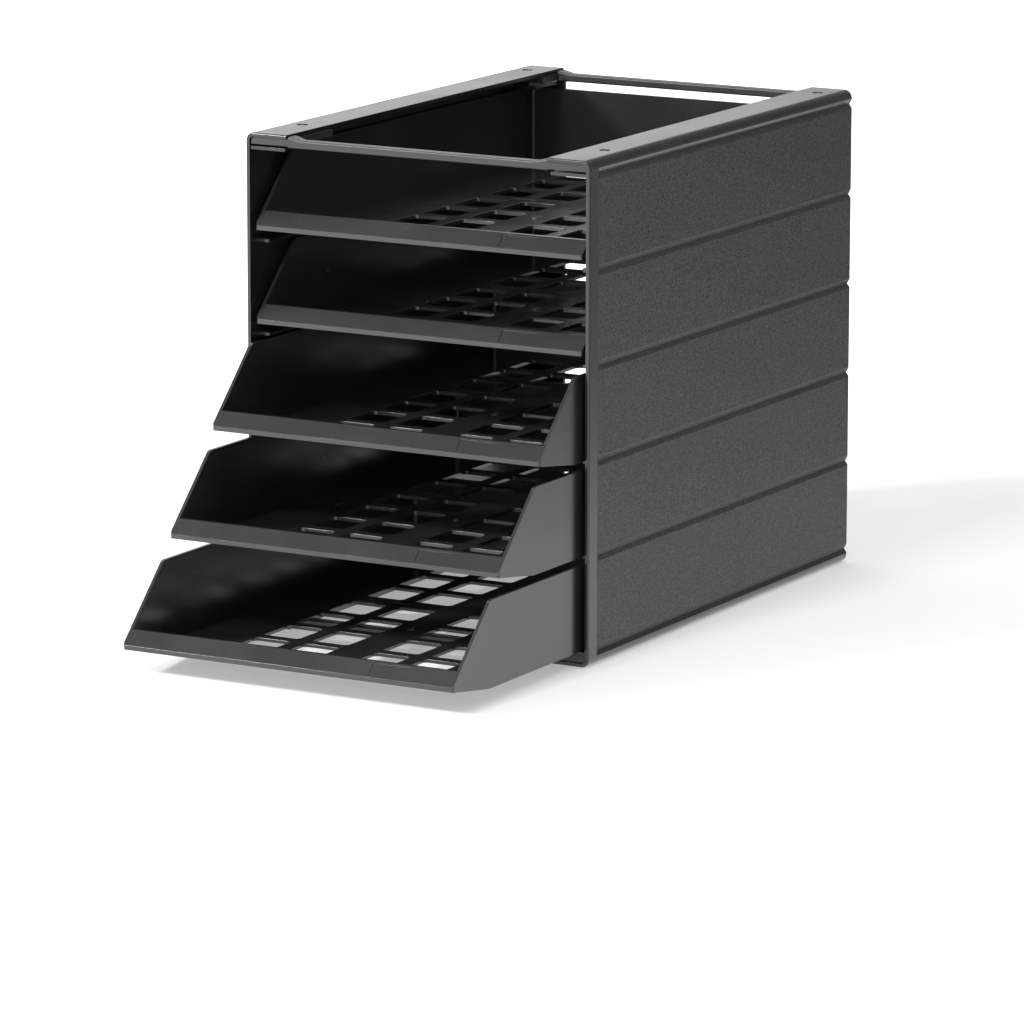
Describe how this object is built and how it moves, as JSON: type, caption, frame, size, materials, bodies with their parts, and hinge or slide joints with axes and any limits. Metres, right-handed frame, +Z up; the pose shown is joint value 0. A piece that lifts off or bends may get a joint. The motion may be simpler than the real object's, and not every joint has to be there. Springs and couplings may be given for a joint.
{
  "type": "letter tray stack with drawers",
  "caption": "Desk letter tray stack: grooved side walls joined by crossbars hold open-topped trays with perforated floors and sloping grip lips that slide out on runners.",
  "frame": {"origin": "middle of the rectangle that the housing covers on the desk", "axes": "+Z up, -Y to the front, where the trays pull out, +X to the right as seen from the front"},
  "size_m": [0.25, 0.525, 0.322],
  "materials": {
    "tray_plastic": "glossy black injection-moulded polystyrene",
    "housing_plastic": "semi-gloss black injection-moulded polystyrene"
  },
  "bodies": {
    "housing": {"left_side_wall": "housing_plastic", "right_side_wall": "housing_plastic", "top_front_crossbar": "housing_plastic", "top_rear_crossbar": "housing_plastic", "bottom_front_crossbar": "housing_plastic", "bottom_rear_crossbar": "housing_plastic"},
    "tray_1": {"letter_tray_1": "tray_plastic"},
    "tray_2": {"letter_tray_2": "tray_plastic"},
    "tray_3": {"letter_tray_3": "tray_plastic"},
    "tray_4": {"letter_tray_4": "tray_plastic"},
    "tray_5": {"letter_tray_5": "tray_plastic"}
  },
  "joints": [
    {"name": "tray_1_slide", "type": "slide", "parent": "housing", "child": "tray_1", "axis": [0, -1, 0], "range_m": [0, 0.27]},
    {"name": "tray_2_slide", "type": "slide", "parent": "housing", "child": "tray_2", "axis": [0, -1, 0], "range_m": [0, 0.27]},
    {"name": "tray_3_slide", "type": "slide", "parent": "housing", "child": "tray_3", "axis": [0, -1, 0], "range_m": [-0.054, 0.216]},
    {"name": "tray_4_slide", "type": "slide", "parent": "housing", "child": "tray_4", "axis": [0, -1, 0], "range_m": [-0.105, 0.165]},
    {"name": "tray_5_slide", "type": "slide", "parent": "housing", "child": "tray_5", "axis": [0, -1, 0], "range_m": [-0.161, 0.109]}
  ]
}
